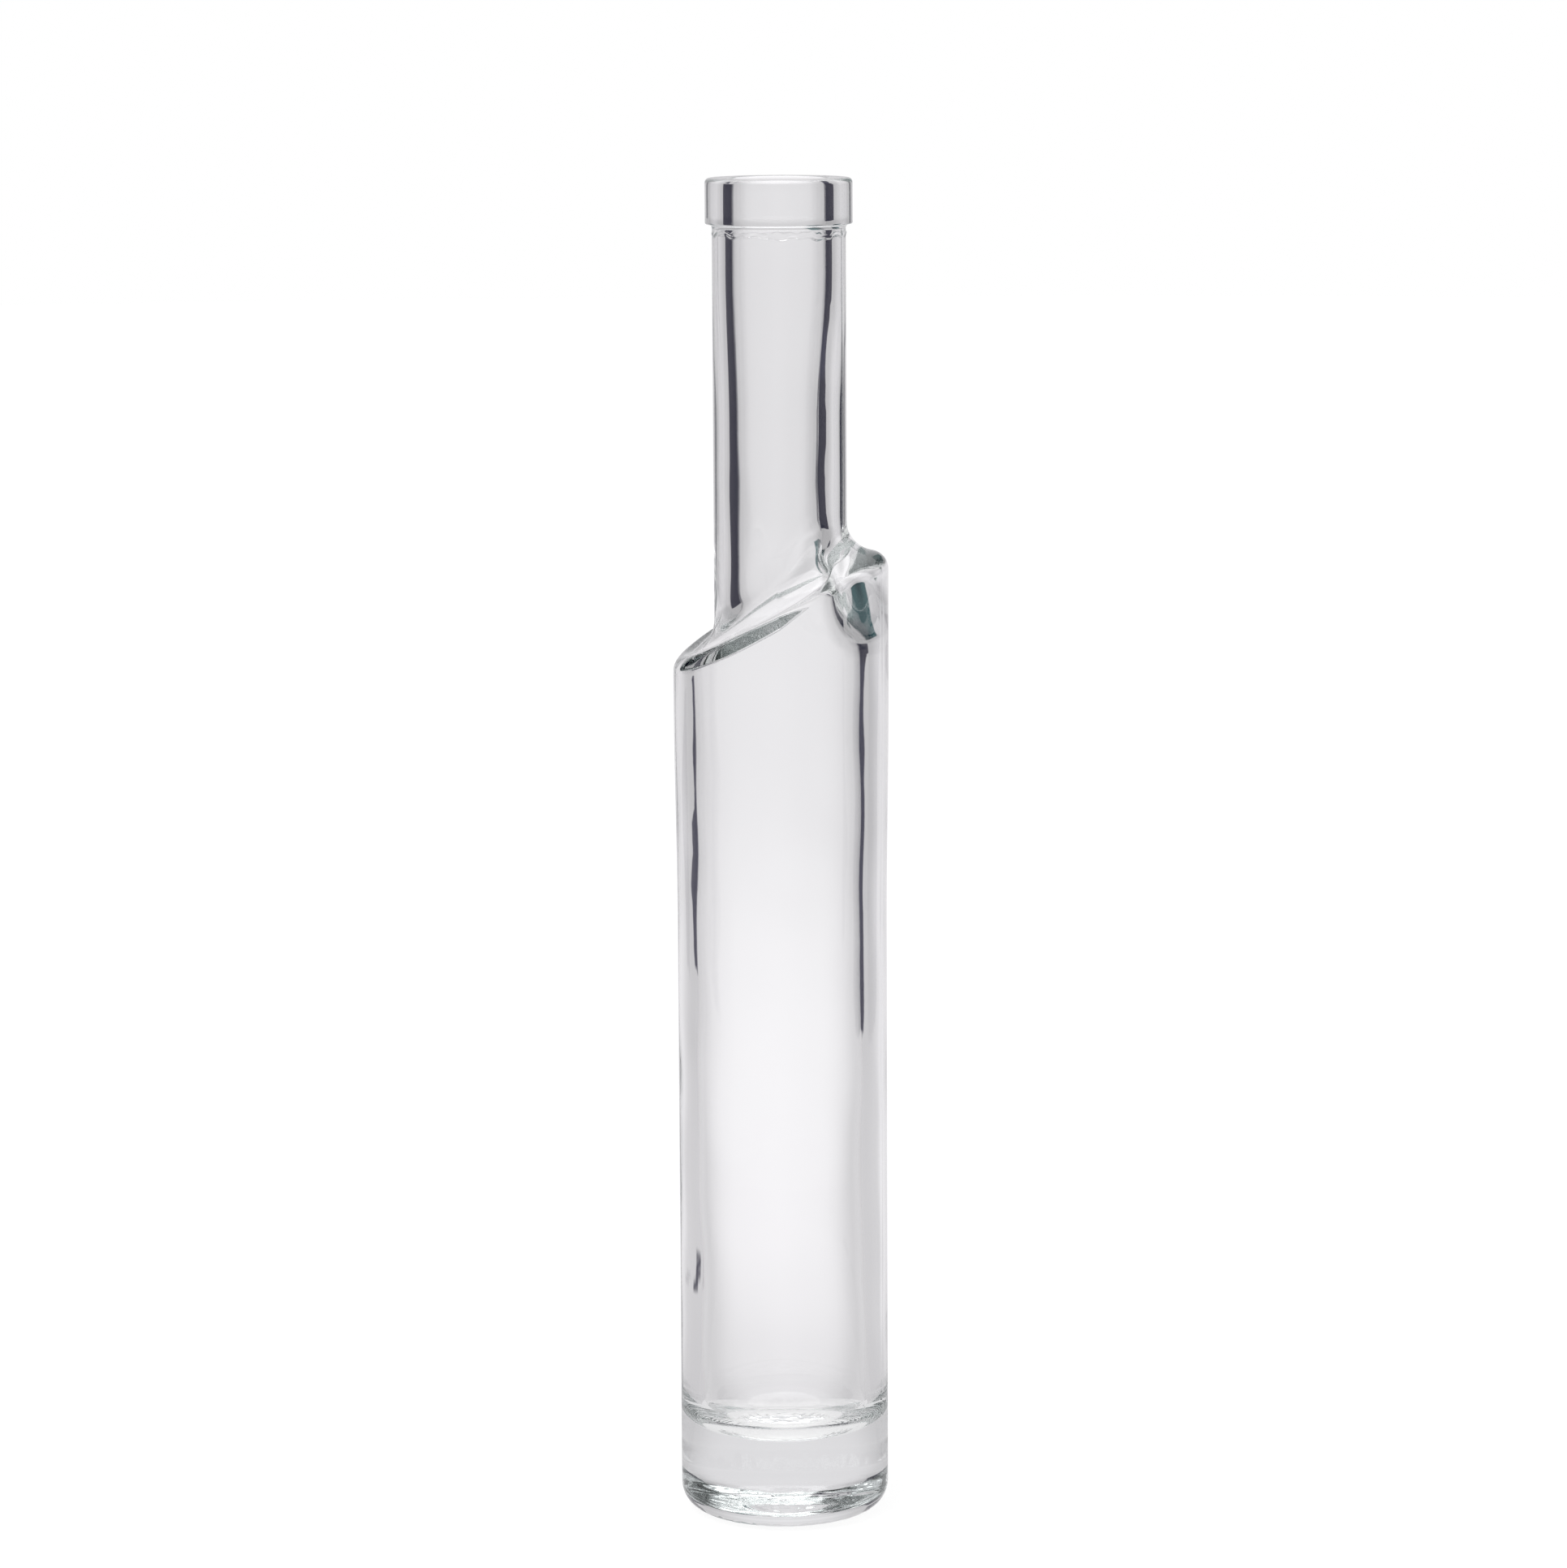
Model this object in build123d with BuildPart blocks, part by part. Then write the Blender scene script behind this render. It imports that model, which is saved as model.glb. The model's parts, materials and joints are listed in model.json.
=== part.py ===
# Tall bottle of clear glass with a slanted shoulder and an open cork mouth.
#
# The real bottle is blown in a mould as one piece of glass, so it is one solid here.
# It has an outer form (body, slanted shoulder, neck and mouth band) and a hollow
# inside it (floor, wall, inner shoulder, inner neck and the straight bore for a stopper).
# The glass is the outer form less the hollow.
#
# All sizes are in millimetres. The bottle stands on z = 0, its body and its neck share
# the Z axis, and its shoulder climbs from the -X side to the +X side.

import os
from math import acos, atan, cos, sin, sqrt

from build123d import *

# Whole bottle
bottle_height = 268.0  # standing face to the top of the mouth

# Slanted shoulder, outside
wall_end_height = 180.9  # on the axis, where the straight wall ends
wall_end_rise = 20.8  # how much higher the wall ends at +X than at -X
edge_radius = 3.6  # round over the end of the wall
root_radius = 6.4  # hollow round up into the neck
root_rise = 19.2  # how much higher the neck starts at +X than at -X

# Body, outside
body_radius = 20.9  # lower part of the wall
body_widening = 0.46  # the mould is a little wider in its upper part
widening_length = 48.0  # height over which the wall widens
upper_wall_length = 2.5  # straight wall left above it, on the low side of the shoulder
heel_radius = 5.2  # round between the wall and the standing face

# Hollow under the base
bearing_width = 2.5  # flat ring between the heel and the hollow, which the bottle stands on
push_up_depth = 1.6

# Mouth band and neck, outside
band_radius = 14.5
band_overhang = 1.35  # how far the band stands out from the neck
band_height = 9.0
band_top_round = 0.95
band_bottom_round = 0.35
band_under_round = 0.8  # hollow round between the neck and the underside of the band

# Glass thickness
body_wall = 4.3  # lower part of the body, and the hollow stays straight above it
neck_wall = 4.7
shoulder_glass = 2.9  # height between the tops of the inner and the outer edge rounds
floor_thickness = 16.6  # standing face to the inner floor, the heavy base of the bottle
floor_crown = 0.7  # the inner floor is a little higher in its middle
floor_corner_radius = 8.0

# Hollow under the slanted shoulder. Its wall ends in a tight corner, which shows through the
# glass as the bright slanted line, and its ceiling climbs long and steep into the neck. It
# climbs less from side to side than the outside does, so the high corner holds more glass.
wall_end_rise_less = 1.4
root_rise_less = 2.0
inner_edge_radius = 1.0
inner_root_radius = 14.0

# Bore
bore_radius = 9.25  # straight bore that the stopper is pushed into
bore_length = 18.0
bore_taper_length = 18.0  # from the bore down to the inner neck
mouth_round = 0.8  # inner edge of the mouth

# Steps that the round shoulders are lofted through
rings_per_arc = 6

# Places and sizes that follow from these
upper_body_radius = body_radius + body_widening
widening_top = wall_end_height - wall_end_rise / 2 - upper_wall_length
widening_bottom = widening_top - widening_length
push_up_radius = body_radius - heel_radius - bearing_width
neck_radius = band_radius - band_overhang
band_bottom = bottle_height - band_height
hollow_radius = body_radius - body_wall
inner_wall_end_height = wall_end_height + edge_radius - shoulder_glass - inner_edge_radius
inner_wall_end_rise = wall_end_rise - wall_end_rise_less
inner_root_rise = root_rise - root_rise_less
inner_neck_radius = neck_radius - neck_wall
bore_top = bottle_height - mouth_round
bore_bottom = bore_top - bore_length
taper_bottom = bore_bottom - bore_taper_length


def tipped_plane(radius, height, rise):
    """Plane through the axis at height that climbs by rise across a column of radius."""
    slope = atan(rise / (2 * radius))
    return Plane(
        origin=(0, 0, height),
        x_dir=(cos(slope), 0, sin(slope)),
        z_dir=(-sin(slope), 0, cos(slope)),
    )


def tipped_size(radius, rise):
    """Long and short half axes of the ring where that plane cuts the column."""
    return sqrt(radius**2 + (rise / 2) ** 2), radius


def shoulder_depth(wall_radius, throat_radius, wall_round, throat_round):
    """Height from the end of the wall to the start of the neck.

    The wall rolls inwards over one arc and runs up into the neck along a second arc.
    The two arcs touch each other, so their centres are both radii apart.
    """
    reach = wall_round + throat_round
    overlap = reach - (wall_radius - throat_radius)
    return sqrt(reach**2 - overlap**2)


def shoulder_rings(wall_radius, throat_radius, wall_round, throat_round, height, wall_rise, throat_rise):
    """Radius, height and rise of each ring from the end of the wall to the neck.

    A straight round shoulder would have level rings. Here each ring is tipped about the
    Y axis: it keeps its height on the bottle's axis and climbs by its rise across it.
    """
    reach = wall_round + throat_round
    depth = shoulder_depth(wall_radius, throat_radius, wall_round, throat_round)
    turn = acos((reach - wall_radius + throat_radius) / reach)
    steps = [step / rings_per_arc for step in range(rings_per_arc + 1)]
    convex = [
        (wall_radius - wall_round * (1 - cos(turn * step)), wall_round * sin(turn * step))
        for step in steps
    ]
    concave = [
        (throat_radius + throat_round * (1 - cos(turn * step)), depth - throat_round * sin(turn * step))
        for step in reversed(steps[:-1])
    ]
    return [
        (radius, height + climb, wall_rise + (throat_rise - wall_rise) * climb / depth)
        for radius, climb in convex + concave
    ]


outer_rings = shoulder_rings(
    upper_body_radius, neck_radius, edge_radius, root_radius, wall_end_height, wall_end_rise, root_rise
)
inner_rings = shoulder_rings(
    hollow_radius,
    inner_neck_radius,
    inner_edge_radius,
    inner_root_radius,
    inner_wall_end_height,
    inner_wall_end_rise,
    inner_root_rise,
)

# Body and shoulder, outside: a turned blank, cut off on the slant, with the shoulder
# lofted on the cut through the tipped rings.
with BuildPart() as outer_form:
    blank_top = wall_end_height + wall_end_rise
    with BuildSketch(Plane.XZ):
        with BuildLine():
            Polyline(
                (0, blank_top),
                (0, 0),
                (body_radius, 0),
                (body_radius, widening_bottom),
            )
            Spline(
                (body_radius, widening_bottom),
                (upper_body_radius, widening_top),
                tangents=[(0, 1), (0, 1)],
            )
            Polyline(
                (upper_body_radius, widening_top),
                (upper_body_radius, blank_top),
                (0, blank_top),
            )
        make_face()
    revolve(axis=Axis.Z)
    fillet(outer_form.edges().group_by(Axis.Z)[0], radius=heel_radius)
    split(bisect_by=tipped_plane(*outer_rings[0]), keep=Keep.BOTTOM)
    for ring in outer_rings:
        with BuildSketch(tipped_plane(*ring)):
            Ellipse(*tipped_size(ring[0], ring[2]))
    loft()

# Neck and mouth band, outside: a turned piece that starts on the slant of the last ring.
with BuildPart() as neck_form:
    with BuildSketch(Plane.XZ):
        with BuildLine():
            FilletPolyline(
                (neck_radius, wall_end_height),
                (neck_radius, band_bottom),
                (band_radius, band_bottom),
                (band_radius, bottle_height),
                (0, bottle_height),
                radius=[band_under_round, band_bottom_round, band_top_round],
            )
            Polyline((0, bottle_height), (0, wall_end_height), (neck_radius, wall_end_height))
        make_face()
    revolve(axis=Axis.Z)
    split(bisect_by=tipped_plane(*outer_rings[-1]), keep=Keep.TOP)

# Hollow of the body and the shoulder, built the same way as the outside.
with BuildPart() as body_hollow:
    hollow_top = inner_wall_end_height + inner_wall_end_rise
    with BuildSketch(Plane.XZ):
        with BuildLine():
            Line((0, hollow_top), (0, floor_thickness + floor_crown))
            floor_flat = hollow_radius - floor_corner_radius
            ThreePointArc(
                (0, floor_thickness + floor_crown),
                (floor_flat / 2, floor_thickness + floor_crown * 3 / 4),
                (floor_flat, floor_thickness),
            )
            CenterArc(
                (floor_flat, floor_thickness + floor_corner_radius), floor_corner_radius, -90, 90
            )
            Polyline(
                (hollow_radius, floor_thickness + floor_corner_radius),
                (hollow_radius, hollow_top),
                (0, hollow_top),
            )
        make_face()
    revolve(axis=Axis.Z)
    split(bisect_by=tipped_plane(*inner_rings[0]), keep=Keep.BOTTOM)
    for ring in inner_rings:
        with BuildSketch(tipped_plane(*ring)):
            Ellipse(*tipped_size(ring[0], ring[2]))
    loft()

# Inner neck and bore: straight where the stopper sits, then drawn in below it.
with BuildPart() as neck_hollow:
    with BuildSketch(Plane.XZ):
        with BuildLine():
            Line((0, inner_wall_end_height), (inner_neck_radius, inner_wall_end_height))
            Line((inner_neck_radius, inner_wall_end_height), (inner_neck_radius, taper_bottom))
            Spline(
                (inner_neck_radius, taper_bottom),
                (bore_radius, bore_bottom),
                tangents=[(0, 1), (0, 1)],
            )
            Line((bore_radius, bore_bottom), (bore_radius, bore_top))
            CenterArc((bore_radius + mouth_round, bore_top), mouth_round, 180, -90)
            Polyline(
                (bore_radius + mouth_round, bottle_height),
                (0, bottle_height),
                (0, inner_wall_end_height),
            )
        make_face()
    revolve(axis=Axis.Z)
    split(bisect_by=tipped_plane(*inner_rings[-1]), keep=Keep.TOP)

# Hollow under the base, a shallow dish with a soft edge.
with BuildPart() as base_dish:
    with BuildSketch(Plane.XZ):
        with BuildLine():
            Line((0, 0), (0, push_up_depth))
            ThreePointArc(
                (0, push_up_depth),
                (push_up_radius / 2, push_up_depth * 3 / 4),
                (push_up_radius, 0),
            )
            Line((push_up_radius, 0), (0, 0))
        make_face()
    revolve(axis=Axis.Z)

with BuildPart() as glass_bottle:
    add(outer_form.part)
    add(neck_form.part)
    add(body_hollow.part, mode=Mode.SUBTRACT)
    add(neck_hollow.part, mode=Mode.SUBTRACT)
    add(base_dish.part, mode=Mode.SUBTRACT)

os.makedirs("parts", exist_ok=True)
glass_bottle.part.label = "glass_bottle"
export_step(glass_bottle.part, "parts/glass_bottle.step")

glass = glass_bottle.part.volume
capacity = body_hollow.part.volume + neck_hollow.part.volume
print(f"glass_bottle: {len(glass_bottle.solids())} solid, {glass / 1000:.1f} cubic cm of glass")
print(f"brimful capacity {capacity / 1000:.0f} ml")
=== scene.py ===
# %% [markdown]
# # A clear glass bottle with a slanted shoulder
#
# The bottle is one blown piece of glass, so this lesson has one shape and one finish. What is
# hard about it is that clear glass shows almost nothing of itself. It bends and mirrors the
# room round it, so three things have to be right: both faces of the wall, the bulk of the
# glass between them, and the room that the bottle bends.
#
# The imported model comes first. It fixes the size and the place of the bottle, and everything
# made below stays inside its box.

import json
from math import atan, degrees, radians

import bpy
import numpy as np
from mathutils import Matrix, Vector


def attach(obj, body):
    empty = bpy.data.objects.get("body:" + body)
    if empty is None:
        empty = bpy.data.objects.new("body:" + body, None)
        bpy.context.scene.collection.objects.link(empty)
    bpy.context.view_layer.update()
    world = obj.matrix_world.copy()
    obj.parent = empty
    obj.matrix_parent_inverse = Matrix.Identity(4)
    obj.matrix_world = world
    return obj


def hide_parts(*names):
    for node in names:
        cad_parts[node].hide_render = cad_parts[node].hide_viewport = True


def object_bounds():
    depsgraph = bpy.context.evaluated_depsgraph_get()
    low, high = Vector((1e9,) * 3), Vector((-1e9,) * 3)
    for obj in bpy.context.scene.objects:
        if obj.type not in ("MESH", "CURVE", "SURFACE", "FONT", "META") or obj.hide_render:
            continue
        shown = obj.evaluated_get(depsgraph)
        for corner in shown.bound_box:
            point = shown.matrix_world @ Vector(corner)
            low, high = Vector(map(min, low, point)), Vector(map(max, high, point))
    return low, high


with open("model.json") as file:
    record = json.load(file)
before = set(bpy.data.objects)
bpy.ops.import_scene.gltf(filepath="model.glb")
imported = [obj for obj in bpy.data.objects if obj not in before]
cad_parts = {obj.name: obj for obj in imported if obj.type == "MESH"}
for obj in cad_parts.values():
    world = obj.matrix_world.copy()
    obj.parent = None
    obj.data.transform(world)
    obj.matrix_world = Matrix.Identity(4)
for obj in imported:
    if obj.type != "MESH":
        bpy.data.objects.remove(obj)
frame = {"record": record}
cad_low, cad_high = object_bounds()
mounts = {mount["name"]: mount for mount in frame["record"]["mounts"]}
print("box of the packed bottle:", tuple(cad_low), tuple(cad_high))

# %% [markdown]
# ## Measures
#
# Everything is in metres. The height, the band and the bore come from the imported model, so they
# can't drift apart from it. The rest are the sizes that a glassmaker would give for the mould and
# for the thickness of the glass. The ceiling is the end of the inner wall, under the shoulder.

# %% Sizes of the bottle
mm = 0.001

bottle_height = cad_high.z
band_radius = mounts["mouth_band"]["dims"]["r_mm"] * mm
bore_radius = mounts["mouth_bore"]["dims"]["r_mm"] * mm
bore_length = mounts["mouth_bore"]["dims"]["length_mm"] * mm

body_radius = 20.9 * mm
body_widening = 0.46 * mm
widening_bottom = 120 * mm
widening_top = 168 * mm
heel_radius = 5.2 * mm
bearing_width = 2.5 * mm
push_up_depth = 1.6 * mm

wall_end_height = 180.9 * mm
wall_end_rise = 20.8 * mm
edge_radius = 3.6 * mm
root_radius = 6.4 * mm
root_rise = 19.2 * mm
front_edge_radius = 1.2 * mm  # the edge is tighter at the front and the back of the shoulder

band_overhang = 1.35 * mm
band_height = 9 * mm
band_top_round = 0.95 * mm
band_bottom_round = 0.35 * mm
band_under_round = 0.8 * mm

body_wall = 4.3 * mm
neck_wall = 4.7 * mm
floor_thickness = 16.6 * mm
floor_crown = 0.7 * mm
floor_corner_radius = 8 * mm
ceiling_middle = 180.8 * mm
ceiling_slope = 0.6
ceiling_more_slope = 0.22  # what the high side adds to it
ceiling_top = 190.3 * mm
ceiling_softness = 1.2 * mm
inner_edge_radius = 0.7 * mm
inner_neck_height = 194.2 * mm
inner_neck_rise = 17.2 * mm
bore_taper_length = 30 * mm
mouth_round = 0.8 * mm

neck_radius = band_radius - band_overhang
hollow_radius = body_radius - body_wall
inner_neck_radius = neck_radius - neck_wall
push_up_radius = body_radius - heel_radius - bearing_width
heel_flat = body_radius - heel_radius
floor_flat = hollow_radius - floor_corner_radius
band_bottom = bottle_height - band_height
neck_top = band_bottom - band_under_round
bore_bottom = bottle_height - mouth_round - bore_length
taper_bottom = bore_bottom - bore_taper_length
print(f"height {bottle_height / mm:.1f} mm, body {2 * body_radius / mm:.1f} mm across")

# %% [markdown]
# ## The skin of the glass as one grid
#
# A bottle could be turned with a Screw modifier, but a slanted shoulder isn't round about the
# axis. So the skin is worked out as a grid, with one row for each ring and one column for each
# direction round the axis. A point of the grid has a radius and a height, and its direction.
#
# The rings run from the middle of the base up the outside, over the mouth and down the inside
# to the middle of the inner floor. The skin is therefore closed, which glass needs: light must
# always be able to tell whether it is in the glass or in the air.

# %% Directions round the axis, and lines and rounds for the level rings
turns = 300
turn = np.linspace(0, 2 * np.pi, turns, endpoint=False)[None, :]
across = np.cos(turn)  # 1 on the high side of the shoulder, -1 on the low side
level = 0 * turn


def smooth_step(value, low, high):
    """0 below low, 1 above high and an eased climb between: share squared times (3 - 2 share)."""
    share = np.clip((value - low) / (high - low), 0, 1)
    return share**2 * (3 - 2 * share)


def straight(start, end, count):
    """Level rings from start to end: start plus an even share of the way."""
    share = np.linspace(0, 1, count)[:, None]
    return np.stack([start[part] + (end[part] - start[part]) * share + level for part in (0, 1)])


def rounded(centre, bend, start_degrees, end_degrees, count):
    """Level rings round a bend: the centre (radius, height) plus bend times (cosine, sine)."""
    angle = np.radians(np.linspace(start_degrees, end_degrees, count))[:, None]
    radius = centre[0] + bend * np.cos(angle)
    height = centre[1] + bend * np.sin(angle)
    return np.stack([radius + level, height + level])


def bowed(radius, height, bow, count):
    """Level rings of a shallow dome: height plus bow times (1 - (distance / radius) squared)."""
    share = np.linspace(0, 1, count)[:, None]
    return np.stack([radius * share + level, height + bow * (1 - share**2) + level])


def drawn_in(start, end, count):
    """Level rings from start to end whose radius eases out of one wall into the other."""
    share = np.linspace(0, 1, count)[:, None]
    radius = start[0] + (end[0] - start[0]) * smooth_step(share, 0, 1)
    return np.stack([radius + level, start[1] + (end[1] - start[1]) * share + level])


# %% [markdown]
# The shoulder is what makes this bottle. The wall below it ends on a slant, and the neck starts on
# one. Between them the glass rolls over a round edge and up a hollow root. The edge is an arc and
# the root is part of an oval, and their heights climb from one side to the other, as if the rings
# of a plain shoulder had been tipped.
#
# A plain shoulder could be bent with a Lattice, but the wall and the neck have to stay upright and
# the rounds true. Here only the heights of the rings change round the bottle, so both come by
# themselves.


# %% Walls and shoulders whose rings are tipped
def tipped(height, rise):
    """Height of a tipped ring in each direction: height plus half the rise times the cosine."""
    return height + rise / 2 * across


def column(radius, level_height, tipped_height, count):
    """Rings of a straight wall that start level and take up the far end's heights bit by bit.

    The height goes evenly to the mean of the far end, and what the far end has more or less
    than its mean grows with the square of the share of the way.
    """
    share = np.linspace(0, 1, count)[:, None]
    mean = tipped_height.mean()
    height = level_height + (mean - level_height) * share + (tipped_height - mean) * share**2
    return np.stack([radius + 0 * height, height])


def shoulder(wall, throat, edge, swing, ledge, top, count):
    """Rings from the end of the wall to the start of the neck.

    The wall rolls inwards through the angle swing along an arc of radius edge, whose end is the
    ledge. From there a piece of an oval, through the same angle, runs up into the throat. The
    radius of the edge and the heights of the ledge and of the top are given for each direction.
    """
    angle = swing * np.linspace(0, 1, count)[:, None]
    edge = edge + level
    over = np.stack(
        [wall - edge * (1 - np.cos(angle)), ledge - edge * (np.sin(swing) - np.sin(angle))]
    )
    back = angle[::-1][1:]
    reach = wall - edge * (1 - np.cos(swing)) - throat
    under = np.stack(
        [
            throat + reach * (1 - np.cos(back)) / (1 - np.cos(swing)),
            top - (top - ledge) * np.sin(back) / np.sin(swing),
        ]
    )
    return np.concatenate([over, under], axis=1)


# %% The outer shoulder
arc_rings = 12  # rings along each of the two arcs
shoulder_wall = body_radius + body_widening
reach = edge_radius + root_radius
swing = np.arccos((reach - shoulder_wall + neck_radius) / reach)
shoulder_depth = reach * np.sin(swing)
ledge_share = edge_radius / reach
ledge_height = wall_end_height + shoulder_depth * ledge_share
ledge_rise = wall_end_rise + (root_rise - wall_end_rise) * ledge_share
outer_shoulder = shoulder(
    shoulder_wall,
    neck_radius,
    edge_radius * across**2 + front_edge_radius * (1 - across**2),
    swing,
    tipped(ledge_height, ledge_rise),
    tipped(wall_end_height + shoulder_depth, root_rise),
    arc_rings,
)
print(f"the shoulder is {shoulder_depth / mm:.1f} mm deep and climbs {ledge_rise / mm:.1f} mm")

# %% [markdown]
# Inside, air pressed the soft glass into the mould, and it kept its own form. The hollow ends
# under the ledge in a fairly sharp corner that climbs faster on the high side, and then meets the
# thick glass of the high corner, where it can go no higher.


# %% The inner shoulder
def ceiling_height(place):
    """Height at which the inner wall ends, over the place along the slant.

    Two straight climbs, the second steeper, which ease into the highest level: the soft lesser of
    two values is their mean less half the root of (difference squared plus softness squared).
    """
    climb = ceiling_middle + ceiling_slope * place + ceiling_more_slope * np.maximum(place, 0)
    return (climb + ceiling_top - np.sqrt((climb - ceiling_top) ** 2 + ceiling_softness**2)) / 2


inner_swing = radians(60)
inner_ledge = ceiling_height(hollow_radius * across) + inner_edge_radius
inner_top = tipped(inner_neck_height, inner_neck_rise)
inner_shoulder = shoulder(
    hollow_radius,
    inner_neck_radius,
    inner_edge_radius,
    inner_swing,
    inner_ledge,
    inner_top,
    arc_rings,
)[:, ::-1]
ledge_low, ledge_high = inner_ledge.min() / mm, inner_ledge.max() / mm
print(f"the hollow's ledge climbs from {ledge_low:.1f} mm to {ledge_high:.1f} mm")

# %% All rings, from the middle of the base to the middle of the inner floor
seam_room = 3 * mm  # height under the band where the rings lie close together
inner_corner = floor_thickness + floor_corner_radius
# The last number in a call is its count of rings. The neck, the inner shoulder, the inner wall
# and the floor are worked out the other way round, so their rings are turned over.
sections = {
    "dish": bowed(push_up_radius, 0, push_up_depth, 10),
    "bearing": straight((push_up_radius, 0), (heel_flat, 0), 7),
    "heel": rounded((heel_flat, heel_radius), heel_radius, -90, 0, 12),
    "wall": column(body_radius, heel_radius, outer_shoulder[1, 0], 50),
    "shoulder": outer_shoulder,
    "neck": column(neck_radius, neck_top - seam_room, outer_shoulder[1, -1], 24)[:, ::-1],
    "neck seam": straight((neck_radius, neck_top - seam_room), (neck_radius, neck_top), 25),
    "under band": rounded((neck_radius + band_under_round, neck_top), band_under_round, 180, 90, 5),
    "band corner": rounded(
        (band_radius - band_bottom_round, band_bottom + band_bottom_round), band_bottom_round, -90, 0, 5
    ),
    "band": straight(
        (band_radius, band_bottom + band_bottom_round), (band_radius, bottle_height - band_top_round), 7
    ),
    "band top": rounded(
        (band_radius - band_top_round, bottle_height - band_top_round), band_top_round, 0, 90, 8
    ),
    "rim": straight(
        (band_radius - band_top_round, bottle_height), (bore_radius + mouth_round, bottle_height), 4
    ),
    "mouth": rounded((bore_radius + mouth_round, bottle_height - mouth_round), mouth_round, 90, 180, 7),
    "bore": straight((bore_radius, bottle_height - mouth_round), (bore_radius, bore_bottom), 9),
    "taper": drawn_in((bore_radius, bore_bottom), (inner_neck_radius, taper_bottom), 11),
    "inner neck": column(inner_neck_radius, taper_bottom, inner_shoulder[1, 0], 22),
    "inner shoulder": inner_shoulder,
    "inner wall": column(hollow_radius, inner_corner, inner_shoulder[1, -1], 78)[:, ::-1],
    "floor corner": rounded((floor_flat, inner_corner), floor_corner_radius, 0, -90, 12),
    "floor": bowed(floor_flat, floor_thickness, floor_crown, 9)[:, ::-1],
}
# Where two sections meet, the second starts with the last ring of the first, so that ring is left
# out. The dish is the first section, and the band's corner starts away from the one before it.
first_ring = {name: 0 if name in ("dish", "band corner") else 1 for name in sections}
joined = {name: part[:, first_ring[name] :] for name, part in sections.items()}
ring_zone = np.concatenate([[name] * part.shape[1] for name, part in joined.items()])
radius, height = np.concatenate(list(joined.values()), axis=1)
in_zone = {name: (ring_zone == name)[:, None] for name in sections}
for name, part in joined.items():
    print(f"{name:15s}{part.shape[1]:4d} rings, radius {part[0, -1, 0] / mm:6.2f} mm at the end")
print(len(ring_zone), "rings in all")

# %% [markdown]
# ## What a mould and a blowing iron leave
#
# A turned bottle looks like plastic. On a real one the outside follows the mould and has the thin
# raised lines where the mould's parts met. The inside was only ever shaped by air, so it is a
# little wavy, stands off the axis by less than half a millimetre, and leaves more glass in the
# high corner. All of it is worked into the grid as small moves of its points, rather than painted
# on as bump, because light that goes through glass shows the true wall.


# %% Seams, ripples and ribs
def ridge(distance, width):
    """A soft ridge 1 high at distance 0: e to the power of minus (distance / width) squared."""
    return np.exp(-((distance / width) ** 2))


seam_height = 0.05 * mm
seam_width = 0.3 * mm
seam_turn = radians(-20)  # the other seam is half a turn away


def parting_line(turn, radius):
    """Height of the two upright mould seams: a ridge over the way round to the nearer seam."""
    way = np.arcsin(np.abs(np.sin(turn - seam_turn))) * radius
    return seam_height * ridge(way, seam_width)


neck_seam_drop = 1.2 * mm  # under the band's round
neck_seam_height = 0.2 * mm
neck_seam_width = 0.24 * mm
neck_seam_wander = 0.6 * mm  # how far it strays up and down


def neck_seam(turn, height):
    """The wavy line where the mould of the mouth met the mould of the body.

    A ridge round the neck whose place wanders as the sum of three sines of the turn, and whose
    height swells and fades with two more.
    """
    wander = 0.4 * np.sin(2 * turn + 0.6) + 0.35 * np.sin(9 * turn) + 0.25 * np.sin(23 * turn + 2)
    middle = neck_top - neck_seam_drop + neck_seam_wander * wander
    swell = 0.55 + 0.3 * np.sin(13 * turn + 1) + 0.15 * np.sin(31 * turn)
    return neck_seam_height * swell * ridge(height - middle, neck_seam_width)


ripple_depth = 0.05 * mm
ripple_pitch = 100 * mm
ripple_fade = 12 * mm


def ripple(turn, height):
    """Waves of the inner face: four sines of the turn, which drift round as they climb.

    The climb of each is a multiple of the height over the pitch, in full turns.
    """
    climb = height / ripple_pitch * 2 * np.pi
    waves = (
        np.sin(2 * turn + 1.3 * climb + 0.4)
        + 0.7 * np.sin(3 * turn - 2.1 * climb + 1.9)
        + 0.5 * np.sin(5 * turn + 3.7 * climb + 0.8)
        + 0.3 * np.sin(turn + 6.1 * climb)
    )
    return ripple_depth * waves


body_lean = 0.45 * mm  # how far the hollow stands away from the high side
body_less = 0.3 * mm  # what its radius lacks all round
neck_lean = 0.3 * mm
neck_less = 0.4 * mm
neck_from = 180 * mm  # heights between which the body's values give way to the neck's
neck_full = 195 * mm
lean_foot = 45 * mm  # height above the floor's corner over which it sets in
lean_head = 4 * mm  # height above the foot of the taper where it starts to fade


def lean(turn, height):
    """What the hollow lacks: an even part, and one times the cosine of the turn.

    It fades out at the floor and at the bore, which a plunger made round and true.
    """
    neck_share = smooth_step(height, neck_from, neck_full)
    even = body_less + (neck_less - body_less) * neck_share
    leaning = body_lean + (neck_lean - body_lean) * neck_share
    fade = smooth_step(height, inner_corner, inner_corner + lean_foot)
    fade = fade * (1 - smooth_step(height, taper_bottom + lean_head, bore_bottom))
    return (even + leaning * np.cos(turn)) * fade


corner_slope = 0.32
corner_foot = 177.5 * mm  # height at which the wall starts to grow thicker
corner_softness = 0.8 * mm
corner_from = 0.5  # cosines of the turns between which the corner sets in
corner_full = 0.95


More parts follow.
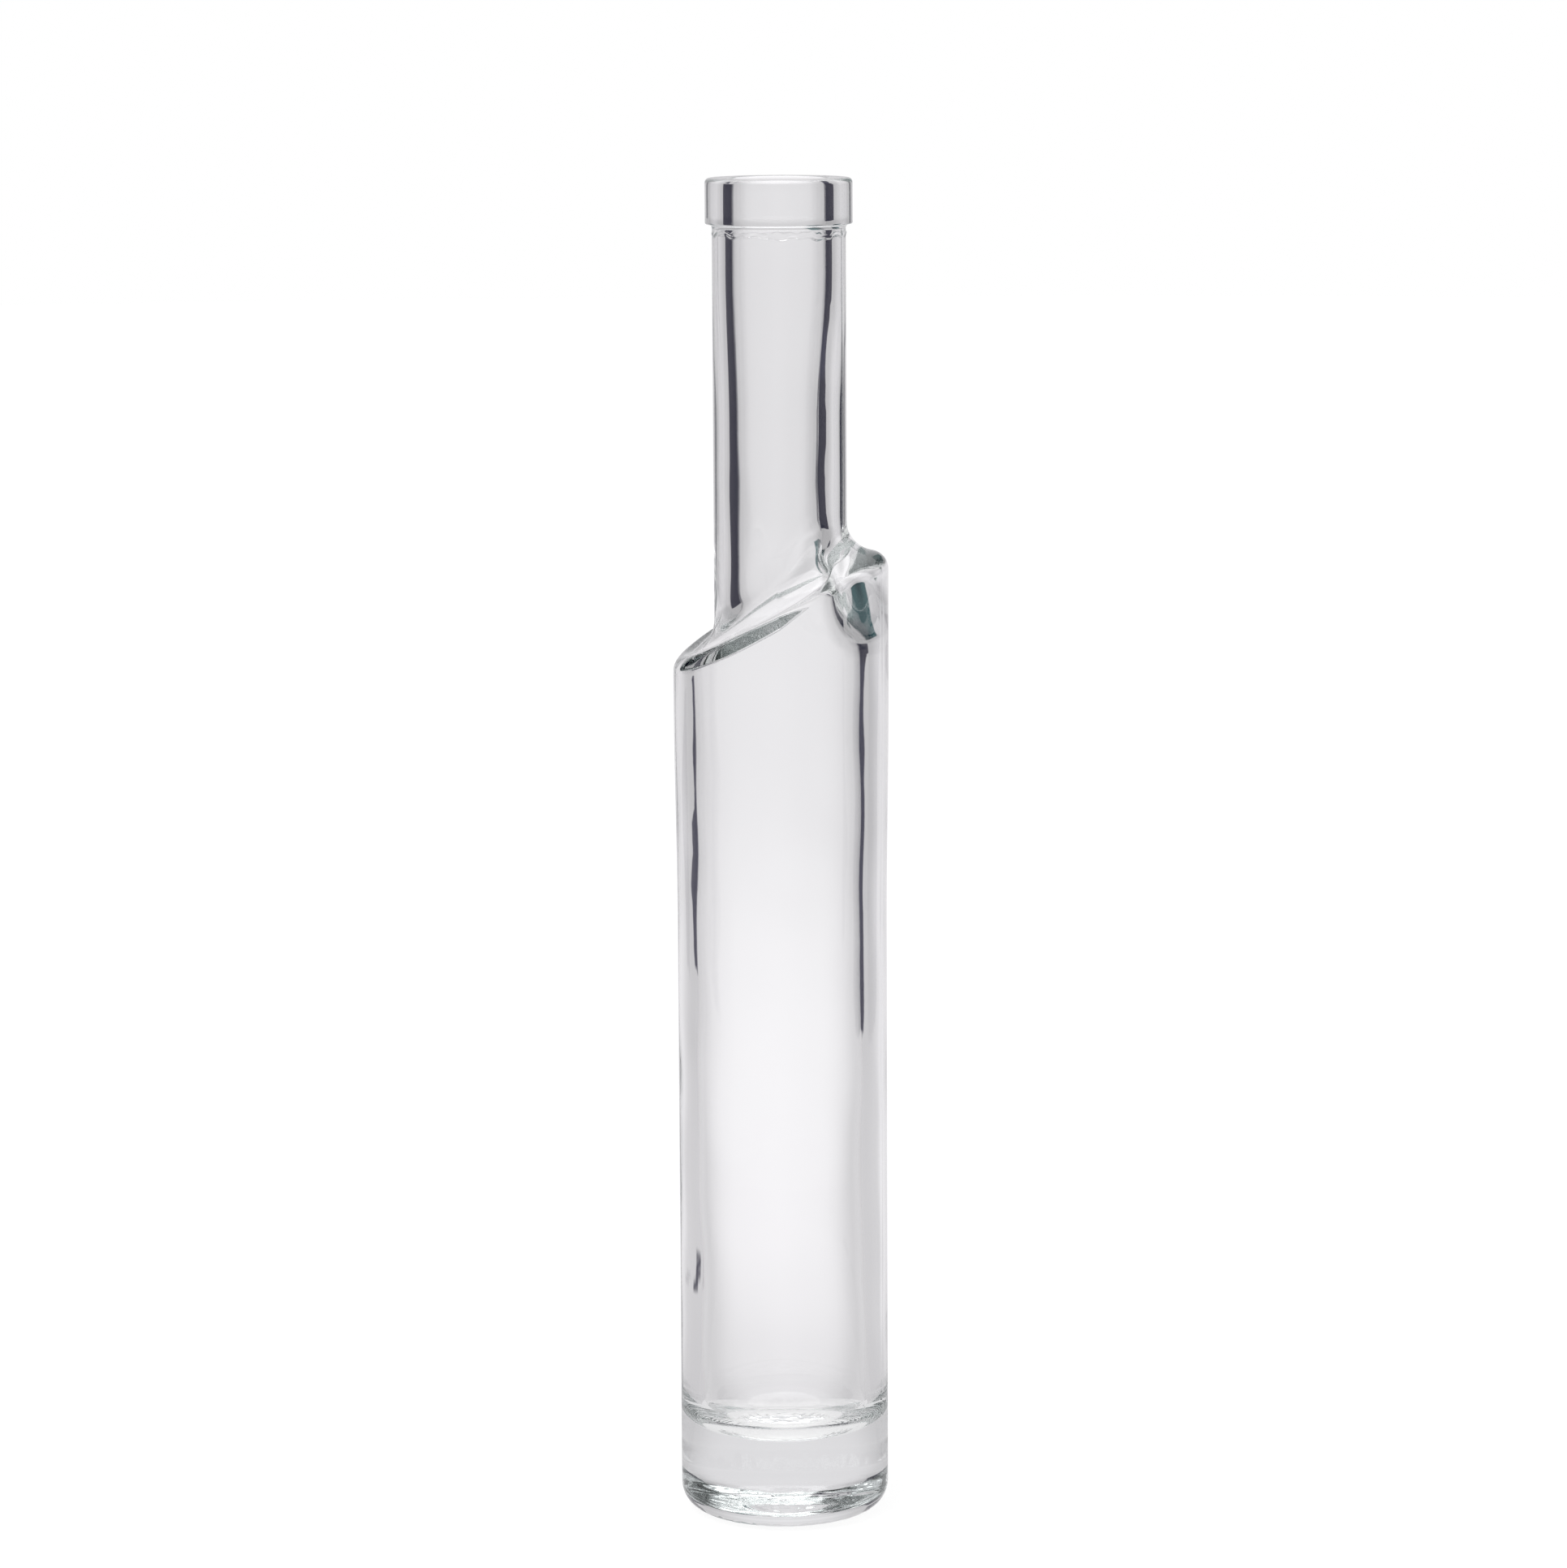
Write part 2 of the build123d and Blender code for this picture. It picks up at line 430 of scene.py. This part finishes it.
def high_corner(turn, radius, height):
    """Glass left in the high corner: a straight climb with a soft foot, eased in round the axis.

    The soft climb is half of (height + root of (height squared plus softness squared)). Its share
    falls from 1 at the inner wall to 0 at the inner neck.
    """
    share = np.clip((radius - inner_neck_radius) / (hollow_radius - inner_neck_radius), 0, 1)
    above = np.minimum(height, ceiling_top) - corner_foot
    climb = (above + np.sqrt(above**2 + corner_softness**2)) / 2
    return corner_slope * climb * smooth_step(np.cos(turn), corner_from, corner_full) * share


knurl_count = 50
knurl_depth = 0.1 * mm


def knurl(turn, radius):
    """Lift of the ribs moulded round the standing ring.

    It is half of (1 - cosine of (the turn times their number)), and fades out towards the dish
    and up the heel.
    """
    middle = (push_up_radius + heel_flat) / 2
    fade = ridge(radius - middle, bearing_width)
    return knurl_depth * fade * (1 - np.cos(knurl_count * turn)) / 2


# %% The moves of the grid
radius += in_zone["wall"] * body_widening * smooth_step(height, widening_bottom, widening_top)
moulded = in_zone["wall"] | in_zone["shoulder"] | in_zone["neck"] | in_zone["neck seam"]
radius += moulded * parting_line(turn, radius)
radius += in_zone["neck seam"] * neck_seam(turn, height)
blown = in_zone["inner wall"] | in_zone["inner shoulder"] | in_zone["inner neck"]
blown_fade = smooth_step(height, inner_corner, inner_corner + ripple_fade) * (
    1 - smooth_step(height, taper_bottom - ripple_fade, taper_bottom)
)
radius += blown * blown_fade * ripple(turn, height)
radius -= blown * high_corner(turn, radius, height)
radius -= (blown | in_zone["taper"]) * lean(turn, height)
standing = in_zone["dish"] | in_zone["bearing"] | in_zone["heel"]
height += standing * knurl(turn, radius)
wall_below = body_radius - radius[in_zone["inner wall"] & (height < widening_bottom)]
print(f"wall below the widening: {wall_below.min() / mm:.2f} to {wall_below.max() / mm:.2f} mm")


# %% Put the grid into a mesh
def skin(name, radius, height):
    """A closed mesh from a grid of rings.

    A point stands at (radius times cosine, radius times sine, height). The first and the last ring
    have no radius, so each is one point, a pole with a fan of triangles round it.
    """
    ring_count, turn_count = radius.shape
    points = np.stack([radius * np.cos(turn), radius * np.sin(turn), height], axis=-1)
    points = np.concatenate([points[0, :1], points[1:-1].reshape(-1, 3), points[-1, :1]])
    here = np.arange(turn_count)
    there = (here + 1) % turn_count
    start = 1 + turn_count * np.arange(ring_count - 3)[:, None]
    above = start + turn_count
    quads = np.stack([start + here, start + there, above + there, above + here], axis=-1)
    last = 1 + turn_count * (ring_count - 3)
    bottom_fan = np.stack([0 * here, 1 + there, 1 + here], axis=-1)
    top_fan = np.stack([last + here, last + there, 0 * here + len(points) - 1], axis=-1)
    mesh = bpy.data.meshes.new(name)
    faces = quads.reshape(-1, 4).tolist() + bottom_fan.tolist() + top_fan.tolist()
    mesh.from_pydata(points.tolist(), [], faces)
    mesh.shade_smooth()
    piece = bpy.data.objects.new(name, mesh)
    bpy.context.scene.collection.objects.link(piece)
    return piece


bottle = skin("bottle_glass", radius, height)
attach(bottle, "root")
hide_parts("glass_bottle")
triangles = sum(len(face.vertices) - 2 for face in bottle.data.polygons)
print(len(bottle.data.vertices), "points,", triangles, "triangles")

# %% [markdown]
# ## Clear flint glass
#
# White flint glass has no colour in a thin wall and a faint grey green where you look along it. A
# tint on the surface would colour thick and thin glass alike, so the tint is put in the bulk, as
# a Volume Absorption that eats light for every metre that it goes.
#
# A flame has polished the skin, so it has no roughness, and a very weak bump keeps its mirror
# images from looking machined. A strong bump, which fades out above the dish, gives the underside
# the grain that a cold base plate leaves. It breaks up the light that comes through the floor.


# %% The glass
glass_ior = 1.52
skin_scale = 140
skin_detail = 2
skin_strength = 0.05
skin_depth = 0.2 * mm
grain_scale = 250
grain_depth = 0.6 * mm
grain_fade = 0.3 * mm  # height above the dish over which the grain fades out
bulk_colour = (0.82, 0.837, 0.835, 1)
bulk_density = 13


def clear_glass():
    """Principled glass with a polished skin, a grained underside and a bulk with a faint tint.

    The bulk takes a little more of the red, so that thick glass looks grey green.
    """
    material = bpy.data.materials.new("clear_glass")
    material.use_nodes = True
    nodes, links = material.node_tree.nodes, material.node_tree.links
    shader = nodes["Principled BSDF"]
    shader.inputs["Base Color"].default_value = (1, 1, 1, 1)
    shader.inputs["IOR"].default_value = glass_ior
    shader.inputs["Transmission Weight"].default_value = 1
    shader.inputs["Roughness"].default_value = 0

    place = nodes.new("ShaderNodeTexCoord")
    peel = nodes.new("ShaderNodeTexNoise")
    peel.inputs["Scale"].default_value = skin_scale
    peel.inputs["Detail"].default_value = skin_detail
    links.new(place.outputs["Object"], peel.inputs["Vector"])
    bump = nodes.new("ShaderNodeBump")
    bump.inputs["Strength"].default_value = skin_strength
    bump.inputs["Distance"].default_value = skin_depth
    links.new(peel.outputs["Fac"], bump.inputs["Height"])

    parts = nodes.new("ShaderNodeSeparateXYZ")
    links.new(place.outputs["Object"], parts.inputs["Vector"])
    underside = nodes.new("ShaderNodeMapRange")
    underside.inputs["From Min"].default_value = push_up_depth
    underside.inputs["From Max"].default_value = push_up_depth + grain_fade
    underside.inputs["To Min"].default_value = 1
    underside.inputs["To Max"].default_value = 0
    links.new(parts.outputs["Z"], underside.inputs["Value"])
    grain = nodes.new("ShaderNodeTexNoise")
    grain.inputs["Scale"].default_value = grain_scale
    links.new(place.outputs["Object"], grain.inputs["Vector"])
    stipple = nodes.new("ShaderNodeBump")
    stipple.inputs["Distance"].default_value = grain_depth
    links.new(underside.outputs["Result"], stipple.inputs["Strength"])
    links.new(grain.outputs["Fac"], stipple.inputs["Height"])
    links.new(bump.outputs["Normal"], stipple.inputs["Normal"])
    links.new(stipple.outputs["Normal"], shader.inputs["Normal"])

    bulk = nodes.new("ShaderNodeVolumeAbsorption")
    bulk.inputs["Color"].default_value = bulk_colour
    bulk.inputs["Density"].default_value = bulk_density
    links.new(bulk.outputs["Volume"], nodes["Material Output"].inputs["Volume"])
    return material


bottle.data.materials.append(clear_glass())
print(f"refractive index {glass_ior}, and {bulk_density} per metre times (1 - colour) absorbed")

# %% [markdown]
# ## The room that the glass bends
#
# The bottle stands on a white table against white. Lit from all sides alike it would vanish, so a
# photographer puts dark cards left and right, just outside the picture. The steep parts of the
# glass bend the view round to them and get the dark lines that draw the bottle.
#
# Lamps can't do that, because clear glass shows the things round it, not the light that falls on
# it. So the room is made of sheets that glow with their own tone: the table top, the cards round
# the bottle and a diffuser over it. They are grids of points too, and are not part of the bottle.


# %% Sheets of the room
def sheet_of(name, points):
    """An open mesh through a grid of points, linked to the scene."""
    rows, columns = points.shape[:2]
    number = np.arange(rows * columns).reshape(rows, columns)
    faces = np.stack([number[:-1, :-1], number[:-1, 1:], number[1:, 1:], number[1:, :-1]], axis=-1)
    mesh = bpy.data.meshes.new(name)
    mesh.from_pydata(points.reshape(-1, 3).tolist(), [], faces.reshape(-1, 4).tolist())
    piece = bpy.data.objects.new(name, mesh)
    bpy.context.scene.collection.objects.link(piece)
    return piece


def disc(reach, height, columns):
    """Points of a level disc: each reach times (cosine, sine) of even turns, all at one height."""
    reach = np.array(reach)[:, None]
    way = np.linspace(0, 2 * np.pi, columns)[None, :]
    return np.stack([reach * np.cos(way), reach * np.sin(way), height + 0 * reach * way], axis=-1)


def emission_by(tree, colour_socket):
    """An Emission shader in a node tree with its colour taken from a socket."""
    shader = tree.nodes.new("ShaderNodeEmission")
    tree.links.new(colour_socket, shader.inputs["Color"])
    return shader


# %% [markdown]
# The table has to be three things at once. To the camera it is white with a faint shadow of the
# bottle. To light that the glass has bent or mirrored it shows painted light and shade: a painted
# pool of light in the middle, where the heavy base gathers its light, a painted shadow of the
# bottle round it, and a paler grey further out. To all other light it is matt white, and so it
# catches the shadow. A Light Path node tells the three apart.

# %% The table top
table_radius = 4.0
table_drop = 0.02 * mm  # just under the standing ring
table_matt = (0.9, 0.9, 0.9, 1)
table_glow = 1.05
shadow_share = 0.12  # how much of the camera's view of the table is matt
# For bent light the grey ring is a painted shadow of the bottle, and the white at the axis a painted
# pool of light.
shade_reach = 0.035  # where the grey is deepest, in metres from the axis
shade_colour = (0.765, 0.755, 0.77, 1)
open_reach = 0.12
open_colour = (0.81, 0.802, 0.812, 1)
table_top = sheet_of("table_top", disc(table_radius * np.linspace(0, 1, 25) ** 2, -table_drop, 97))


def white_table():
    """White to the camera but for a faint shadow, grey to bent light and matt to all other light."""
    material = bpy.data.materials.new("white_table")
    material.use_nodes = True
    tree = material.node_tree
    nodes, links = tree.nodes, tree.links
    nodes.clear()
    out = nodes.new("ShaderNodeOutputMaterial")
    matt = nodes.new("ShaderNodeBsdfDiffuse")
    matt.inputs["Color"].default_value = table_matt
    white = nodes.new("ShaderNodeEmission")
    white.inputs["Strength"].default_value = table_glow
    path = nodes.new("ShaderNodeLightPath")
    for_camera = nodes.new("ShaderNodeMixShader")
    for_camera.inputs["Fac"].default_value = shadow_share
    links.new(white.outputs["Emission"], for_camera.inputs[1])
    links.new(matt.outputs["BSDF"], for_camera.inputs[2])

    place = nodes.new("ShaderNodeTexCoord")
    reach = nodes.new("ShaderNodeVectorMath")
    reach.operation = "LENGTH"
    links.new(place.outputs["Object"], reach.inputs[0])
    # The ramp paints light and shade for bent light: a pool of light at the axis, the bottle's shadow
    # greyest at shade_reach, and a paler grey from open_reach out.
    tone = nodes.new("ShaderNodeValToRGB")
    stops = tone.color_ramp.elements
    stops[0].color = (1, 1, 1, 1)
    stops[1].position = open_reach
    stops[1].color = open_colour
    shaded = stops.new(shade_reach)
    shaded.color = shade_colour
    links.new(reach.outputs["Value"], tone.inputs["Fac"])
    bent = emission_by(tree, tone.outputs["Color"])

    camera_mix = nodes.new("ShaderNodeMixShader")
    links.new(path.outputs["Is Camera Ray"], camera_mix.inputs["Fac"])
    links.new(matt.outputs["BSDF"], camera_mix.inputs[1])
    links.new(for_camera.outputs["Shader"], camera_mix.inputs[2])
    either = nodes.new("ShaderNodeMath")
    either.operation = "MAXIMUM"
    links.new(path.outputs["Is Glossy Ray"], either.inputs[0])
    links.new(path.outputs["Is Transmission Ray"], either.inputs[1])
    bent_mix = nodes.new("ShaderNodeMixShader")
    links.new(either.outputs["Value"], bent_mix.inputs["Fac"])
    links.new(camera_mix.outputs["Shader"], bent_mix.inputs[1])
    links.new(bent.outputs["Emission"], bent_mix.inputs[2])
    links.new(bent_mix.outputs["Shader"], out.inputs["Surface"])
    return material


table_top.data.materials.append(white_table())

# %% [markdown]
# The cards are one band of paper round the bottle. At the back its foot stands close behind the
# bottle, and from there it sweeps up and away, so each part of the glass meets a part of the band
# of its own. Two flat cards would do for the upright lines, but not for the curved ones in the
# base and under the shoulder. The band is white at the back, dark at the sides and grey on the
# camera's side. Only bent and mirrored light can see it, and it goes with the camera, as a
# photographer would carry the cards round.
#
# Its rows lie closest at the foot, where the band is nearly flat and a small rise is a big step
# in the picture.

# %% The form of the cards
camera_distance = 1.05235  # the place and the tilt of the camera, which is set up last
camera_height = 0.30894
look_down = radians(8.699)

card_foot = 0.03  # reach of the foot at the back, and at the camera's side
front_foot = 0.32
front_foot_turns = (60, 110)  # degrees round from the far side between which it moves out
card_distance = 0.65
card_low = -0.005
card_high = 0.6
sweep_high = 0.085  # rise at which the band has come to its full distance
card_columns = 361
card_rows = 451
card_turn = np.linspace(-180, 180, card_columns)[None, :]  # degrees round from the far side
card_rise = card_low + (card_high - card_low) * np.linspace(0, 1, card_rows)[:, None] ** 2
foot = card_foot + (front_foot - card_foot) * smooth_step(np.abs(card_turn), *front_foot_turns)
card_reach = foot + (card_distance - foot) * smooth_step(card_rise, card_low, sweep_high)
cards = sheet_of(
    "cards",
    np.stack(
        [
            card_reach * np.sin(np.radians(card_turn)),
            card_reach * np.cos(np.radians(card_turn)),
            card_rise + 0 * card_turn,
        ],
        axis=-1,
    ),
)
row_gaps = np.diff(card_rise[:, 0]) / mm
print(f"rows {row_gaps[0]:.3f} mm apart at the foot and {row_gaps[-1]:.2f} mm at the head")

# %% [markdown]
# The tone of a point of the cards goes by the height on the bottle at which the camera sees it:
# the line from the camera to the point crosses the bottle's axis there. That makes it plain
# which part of the card draws which part of the bottle. Where the edge of a card stands is given
# at a few of these heights, and it runs evenly from one to the next.
#
# A pair of values gives where a change starts and where it is full. Heights are in metres, and
# turns in degrees round from the far side.

# %% Where the dark cards stand and how they are painted
left_edge_heights = (0.108, 0.114, 0.13, 0.137, 0.146, 0.153, 0.16, 0.165, 0.17)
left_edge_turns = (56, 51, 47, 43, 43, 47, 51.5, 53, 56)
left_body_foot = (0.11, 0.115)
left_body_head = (0.168, 0.171)
left_body_to = (57, 60)
left_neck_edge = 41
left_neck_foot = (0.178, 0.184)
left_neck_head = (0.33, 0.34)
right_edge_heights = (0.098, 0.108, 0.13, 0.155, 0.172, 0.185, 0.2, 0.21)
right_edge_turns = (60, 55, 53, 55, 51.5, 47, 47, 43)
right_foot = (0.098, 0.104)
right_head = (0.284, 0.288)
dark_to = (72, 76)
edge_softness = 2
taper_turn = 9
slip_heights = (0.05, 0.0525)
slip_turns = (44, 52)
slip_width = 10
slip_fade = 0.0006
neck_paint_heights = (0.17, 0.18)
corner_low = (0.318, 0.323)
corner_turns = (12, 15)
corner_to = (40, 46)
teal_turns = (18, 34)
front_turns = (90, 110)
front_heights = (0.1, 0.2)
white_paint = np.array([1.0, 0.985, 1.01])
dark_paint = np.array([0.014, 0.013, 0.042])
neck_dark_paint = np.array([0.002, 0.001, 0.02])
# Painted dark teal shade with the green of thick glass, for light that runs a long way inside the high
# corner.
painted_teal_shade = np.array([0.012, 0.03, 0.038])
painted_pale_teal_shade = np.array([0.06, 0.12, 0.13])
front_paint = np.array([0.6, 0.61, 0.61])
low_front_paint = np.array([0.9, 0.91, 0.9])


def dark_card(away, seen, dark_from, foot, head):
    """Mask of one dark card past the angle dark_from.

    It starts at the first height of its foot and is full from the second, and its head is the
    same upside down. There its edge moves round by the taper, so the line that it draws in the
    glass tapers off.
    """
    full = smooth_step(seen, *foot) * (1 - smooth_step(seen, *head))
    edge = dark_from + taper_turn * (1 - full)
    return smooth_step(away, edge, edge + edge_softness) * smooth_step(full, 0, 0.3)


def dark_slip(away, seen):
    """Mask of a narrow dark slip of paper at the foot, whose two edges move round as it climbs."""
    low, high = slip_heights
    way = away - np.interp(seen, slip_heights, slip_turns)
    tall = smooth_step(seen, low - slip_fade, low) * (1 - smooth_step(seen, high, high + slip_fade))
    return smooth_step(way, -1, 1) * (1 - smooth_step(way, slip_width - 1, slip_width + 1)) * tall


def dark_sides(turn, seen):
    """Mask of all the dark paper: on the left a card for the body, one for the neck and the slip.

    On the right one tall card stands along body and neck.
    """
    away = np.abs(turn)
    left_edge = np.interp(seen, left_edge_heights, left_edge_turns)
    body = dark_card(away, seen, left_edge, left_body_foot, left_body_head)
    body = body * (1 - smooth_step(away, *left_body_to))
    neck = dark_card(away, seen, left_neck_edge, left_neck_foot, left_neck_head)
    left = np.maximum(np.maximum(body, neck), dark_slip(away, seen))
    right_edge = np.interp(seen, right_edge_heights, right_edge_turns)
    right = dark_card(away, seen, right_edge, right_foot, right_head)
    return np.where(turn < 0, left, right) * (1 - smooth_step(away, *dark_to))


# %% [markdown]
# Between the dark cards the paper isn't one white either: it carries painted light and shade. It is
# a little greyer up the bottle, at the foot, and towards the sides, where less light reaches it, and
# these soft changes give the clear glass its roundness.

# %% The white of the back and its painted shade
back_white = 0.96
back_steps = (  # from one height to the next, what the white gains, and below 0 what it loses
    (0.085, 0.16, -0.085),
    (0.18, 0.2, -0.07),
    (0.246, 0.262, 0.015),
    (0.268, 0.3, -0.15),
)
foot_heights = (0.02, 0.06)
foot_less = 0.15
middle_turns = (0, 10)
middle_less = 0.03
lower_turns = (8, 30)
lower_less = 0.3
lower_foot_more = 0.08
upper_heights = (0.06, 0.13)
upper_turns = (8, 44)
upper_less = 0.35


# Painted light and shade on the white paper: greyer up the bottle, at the foot and to the sides.
def painted_back_shading(away, seen):
    """Brightness of the white paper: a share for the height times a share for the direction.

    The first is a sum of eased steps. The second falls off to the sides, over the lower turns
    low down and over the upper turns higher up.
    """
    up = back_white
    for low, high, gain in back_steps:
        up = up + gain * smooth_step(seen, low, high)
    foot_share = 1 - smooth_step(seen, *foot_heights)
    up = up - foot_less * foot_share
    upper = smooth_step(seen, *upper_heights)
    lower_grey = (lower_less - lower_foot_more * foot_share) * smooth_step(away, *lower_turns)
    upper_grey = upper_less * smooth_step(away, *upper_turns)
    along = 1 - middle_less * smooth_step(away, *middle_turns)
    return up * (along - lower_grey * (1 - upper) - upper_grey * upper)


def card_tone(turn, seen):
    """Colour of the cards by the turn from the far side and by the height at which they are seen.

    White at the back, with painted light and shade on it, and the dark cards and the slip at the
    sides, which are darker still along the neck. High up and further back on the right the paper is
    painted dark teal. It is only seen through the thick glass of the high corner, which bends light
    up, and it is painted shade with the green of thick glass, for light that runs a long way inside
    that glass. The camera's side is grey, and nearly white low down.
    """
    back = painted_back_shading(np.abs(turn), seen)[..., None] * white_paint
    side = dark_sides(turn, seen)[..., None]
    neck_share = smooth_step(seen, *neck_paint_heights)[..., None]
    dark = dark_paint + (neck_dark_paint - dark_paint) * neck_share
    back = back * (1 - side) + dark * side
    # A patch of painted dark teal shade, seen only through the thick glass of the high corner.
    corner = smooth_step(turn, *corner_turns) * (1 - smooth_step(turn, *corner_to))
    corner = (corner * smooth_step(seen, *corner_low))[..., None]
    full_teal = smooth_step(turn, *teal_turns)[..., None]
    teal = painted_pale_teal_shade + (painted_teal_shade - painted_pale_teal_shade) * full_teal
    back = back * (1 - corner) + teal * corner
    near = smooth_step(np.abs(turn), *front_turns)[..., None]
    low = 1 - smooth_step(seen, *front_heights)[..., None]
    front = front_paint + (low_front_paint - front_paint) * low
    return back * (1 - near) + front * near


# %% Paint the cards
card_seen = camera_height + (
    (card_rise - camera_height) * camera_distance / (camera_distance + card_reach)
)
tone = card_tone(card_turn + 0 * card_rise, card_seen)
tone_colours = np.concatenate([tone, np.ones(tone.shape[:2] + (1,))], axis=-1)
tone_layer = cards.data.color_attributes.new("tone", "FLOAT_COLOR", "POINT")
tone_layer.data.foreach_set("color", tone_colours.ravel())


def card_paint():
    """Plain light of the colour that each point of the cards holds."""
    material = bpy.data.materials.new("card_paint")
    material.use_nodes = True
    tree = material.node_tree
    tree.nodes.clear()
    layer = tree.nodes.new("ShaderNodeAttribute")
    layer.attribute_name = "tone"
    out = tree.nodes.new("ShaderNodeOutputMaterial")
    shader = emission_by(tree, layer.outputs["Color"])
    tree.links.new(shader.outputs["Emission"], out.inputs["Surface"])
    return material


def only_for_glass(sheet):
    """Show a sheet to mirrored and bent light alone."""
    sheet.visible_camera = False
    sheet.visible_diffuse = False
    sheet.visible_shadow = False


cards.data.materials.append(card_paint())
only_for_glass(cards)
print(f"the cards are seen from {card_seen.min():.3f} m to {card_seen.max():.3f} m up")

# %% [markdown]
# Over the bottle hangs a bright sheet of cloth. Edges of the glass that face up mirror it or bend
# it to the camera, which gives the mouth, the shoulder and the foot their glints. A lamp would
# give them too, but as hard points.

# %% The diffuser over the bottle
diffuser_height = 1.0
diffuser_radius = 0.6
diffuser_glow = 2.2
diffuser = sheet_of("diffuser", disc((0.0, diffuser_radius), diffuser_height, 49))


def diffuser_light():
    """Plain white light."""
    material = bpy.data.materials.new("diffuser_light")
    material.use_nodes = True
    tree = material.node_tree
    tree.nodes.clear()
    out = tree.nodes.new("ShaderNodeOutputMaterial")
    white = tree.nodes.new("ShaderNodeEmission")
    white.inputs["Strength"].default_value = diffuser_glow
    tree.links.new(white.outputs["Emission"], out.inputs["Surface"])
    return material


diffuser.data.materials.append(diffuser_light())
only_for_glass(diffuser)

# %% [markdown]
# Behind all of it is a room that is white to the camera and a soft light for everything else. One
# large lamp from the front left gives the bottle its faint shadow on the table. It is hidden from
# mirrored and bent light, so that the glass shows the sheets of the room alone.

# %% The light all round
room_colour = (0.8, 0.8, 0.82, 1)
room_strength = 1.1
world = bpy.data.worlds.new("studio")
bpy.context.scene.world = world
world.use_nodes = True
world_nodes, world_links = world.node_tree.nodes, world.node_tree.links
world_nodes.clear()
world_out = world_nodes.new("ShaderNodeOutputWorld")
white_room = world_nodes.new("ShaderNodeBackground")
white_room.inputs["Color"].default_value = (1, 1, 1, 1)
white_room.inputs["Strength"].default_value = 1.0
soft_light = world_nodes.new("ShaderNodeBackground")
soft_light.inputs["Color"].default_value = room_colour
soft_light.inputs["Strength"].default_value = room_strength
room_path = world_nodes.new("ShaderNodeLightPath")
room_mix = world_nodes.new("ShaderNodeMixShader")
world_links.new(room_path.outputs["Is Camera Ray"], room_mix.inputs["Fac"])
world_links.new(soft_light.outputs["Background"], room_mix.inputs[1])
world_links.new(white_room.outputs["Background"], room_mix.inputs[2])
world_links.new(room_mix.outputs["Shader"], world_out.inputs["Surface"])

lamp_place = Vector((-0.5, -0.4, 1.4))
lamp_target = Vector((0, 0, 0.1))
lamp_size = 0.8
lamp_power = 12  # watts
lamp = bpy.data.lights.new("soft_box", "AREA")
lamp.shape = "SQUARE"
lamp.size = lamp_size
lamp.energy = lamp_power
key_light = bpy.data.objects.new("soft_box", lamp)
key_light.location = lamp_place
key_light.rotation_euler = (lamp_target - lamp_place).to_track_quat("-Z", "Y").to_euler()
bpy.context.scene.collection.objects.link(key_light)
key_light.visible_glossy = False
key_light.visible_transmission = False
print(f"soft box {(lamp_target - lamp_place).length:.2f} m away")

# %% [markdown]
# ## The camera
#
# A camera fitted to the outline of the bottle in the photograph stands a little over a metre away
# and slightly above the mouth, and looks down by less than nine degrees. It is turned and rolled
# by a hair, as a camera in the hand or on a tripod always is.

# %% The camera of the photograph
picture_width = 1931  # pixels
focal_pixels = 6584.85
axis_left_pixels = 2.43  # the bottle's axis stands this far left of the middle
camera_roll = radians(-0.286)
sensor_width = 36  # millimetres
camera_data = bpy.data.cameras.new("camera")
camera_data.sensor_width = sensor_width
camera_data.lens = focal_pixels / picture_width * sensor_width
camera = bpy.data.objects.new("camera", camera_data)
bpy.context.scene.collection.objects.link(camera)
look_turn = -atan(axis_left_pixels / focal_pixels)
camera.matrix_world = (
    Matrix.Translation((0, -camera_distance, camera_height))
    @ Matrix.Rotation(look_turn, 4, "Z")
    @ Matrix.Rotation(radians(90) - look_down, 4, "X")
    @ Matrix.Rotation(camera_roll, 4, "Z")
)
bpy.context.scene.camera = camera
bpy.context.view_layer.update()
cards.parent = camera
cards.matrix_parent_inverse = camera.matrix_world.inverted()
print(f"lens {camera_data.lens:.1f} mm, looking down by {degrees(look_down):.1f} degrees")

# %% [markdown]
# On its straight way through a bottle light crosses four faces of the wall, and where it runs
# along inside the thick glass it meets many more. Each crossing is a bounce, and a ray that runs
# out of bounces turns black, so glass needs far more of them than other things.

# %% How light is counted
glass_bounces = 128
scene = bpy.context.scene
scene.view_settings.view_transform = "Standard"
scene.cycles.max_bounces = glass_bounces
scene.cycles.transmission_bounces = glass_bounces
scene.cycles.glossy_bounces = glass_bounces
scene.cycles.diffuse_bounces = 3
scene.cycles.caustics_reflective = False
scene.cycles.caustics_refractive = True
